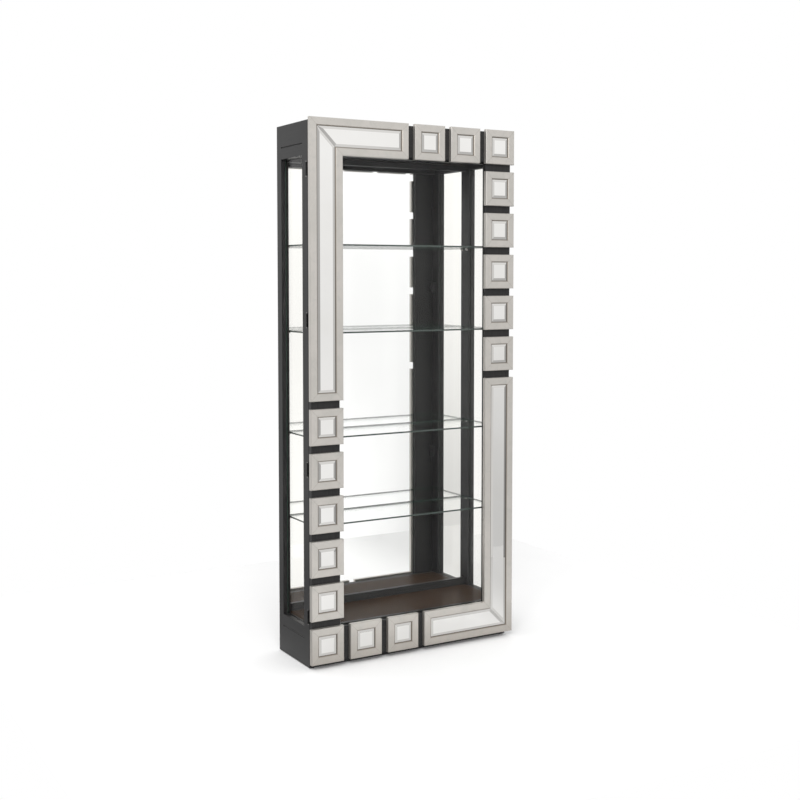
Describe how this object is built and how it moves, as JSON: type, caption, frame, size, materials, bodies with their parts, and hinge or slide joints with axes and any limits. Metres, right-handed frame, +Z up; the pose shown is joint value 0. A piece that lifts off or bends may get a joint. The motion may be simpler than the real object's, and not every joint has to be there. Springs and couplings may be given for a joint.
{
  "type": "mirrored glass display cabinet",
  "caption": "Tall free-standing glass display cabinet with mirrored back, glass shelves and a full-height hinged door bordered by silver frames of bevelled mirror.",
  "frame": {"origin": "on the floor, below the centre of the overall bounding box", "axes": "+Z up; +Y from the door to the back; +X to the right for someone facing the door"},
  "size_m": [0.9, 0.306, 2.032],
  "materials": {
    "dark_wood": "satin black lacquer with a faint grain",
    "brown_wood": "satin espresso brown stain",
    "hardboard": "matt dark hardboard",
    "clear_glass": "clear float glass",
    "shelf_glass": "clear glass with polished greenish edges",
    "mirror": "silvered, bevelled at the edges on the door",
    "silver_leaf": "warm silver leaf, antiqued in the lip",
    "black_steel": "satin black",
    "bright_steel": "nickel plated",
    "black_plastic": "matt",
    "lamp_metal": "satin black",
    "lamp_lens": "frosted",
    "black_rubber": "matt"
  },
  "bodies": {
    "case": {"front_post_left": "dark_wood", "front_post_right": "dark_wood", "back_post_left": "dark_wood", "back_post_right": "dark_wood", "side_head_left": "dark_wood", "side_head_right": "dark_wood", "side_base_left": "dark_wood", "side_base_right": "dark_wood", "side_glass_left": "clear_glass", "side_glass_right": "clear_glass", "side_glass_beads": "dark_wood", "floor_deck": "brown_wood", "top_panel": "dark_wood", "front_header": "dark_wood", "plinth_front": "dark_wood", "back_panel": "hardboard", "back_mirror": "mirror", "mirror_strips": "dark_wood", "glass_shelf_1": "shelf_glass", "glass_shelf_2": "shelf_glass", "glass_shelf_3": "shelf_glass", "glass_shelf_4": "shelf_glass", "shelf_pins": "bright_steel", "wall_rail": "dark_wood", "floor_glides": "black_plastic", "light_housings": "lamp_metal", "light_lenses": "lamp_lens", "cord_grommet": "black_rubber", "hinge_case_leaves": "black_steel", "hinge_pins": "bright_steel", "magnetic_catches": "black_plastic"},
    "door": {"door_stile_left": "dark_wood", "door_stile_right": "dark_wood", "door_rail_top": "dark_wood", "door_rail_bottom": "dark_wood", "door_glass": "clear_glass", "door_glass_beads": "dark_wood", "hinge_door_leaves": "black_steel", "strike_plates": "bright_steel", "mirror_frame_upper": "silver_leaf", "mirror_frame_lower": "silver_leaf", "mirror_panes_upper": "mirror", "mirror_panes_lower": "mirror", "tile_frame_01": "silver_leaf", "tile_frame_02": "silver_leaf", "tile_frame_03": "silver_leaf", "tile_frame_04": "silver_leaf", "tile_frame_05": "silver_leaf", "tile_frame_06": "silver_leaf", "tile_frame_07": "silver_leaf", "tile_frame_08": "silver_leaf", "tile_frame_09": "silver_leaf", "tile_frame_10": "silver_leaf", "tile_frame_11": "silver_leaf", "tile_frame_12": "silver_leaf", "tile_frame_13": "silver_leaf", "tile_frame_14": "silver_leaf", "tile_frame_15": "silver_leaf", "tile_frame_16": "silver_leaf", "tile_mirrors": "mirror"}
  },
  "joints": [
    {"name": "door_hinge", "type": "hinge", "parent": "case", "child": "door", "pos_m": [-0.446, -0.1145, 1], "axis": [0, 0, -1], "range_deg": [0, 110]}
  ]
}
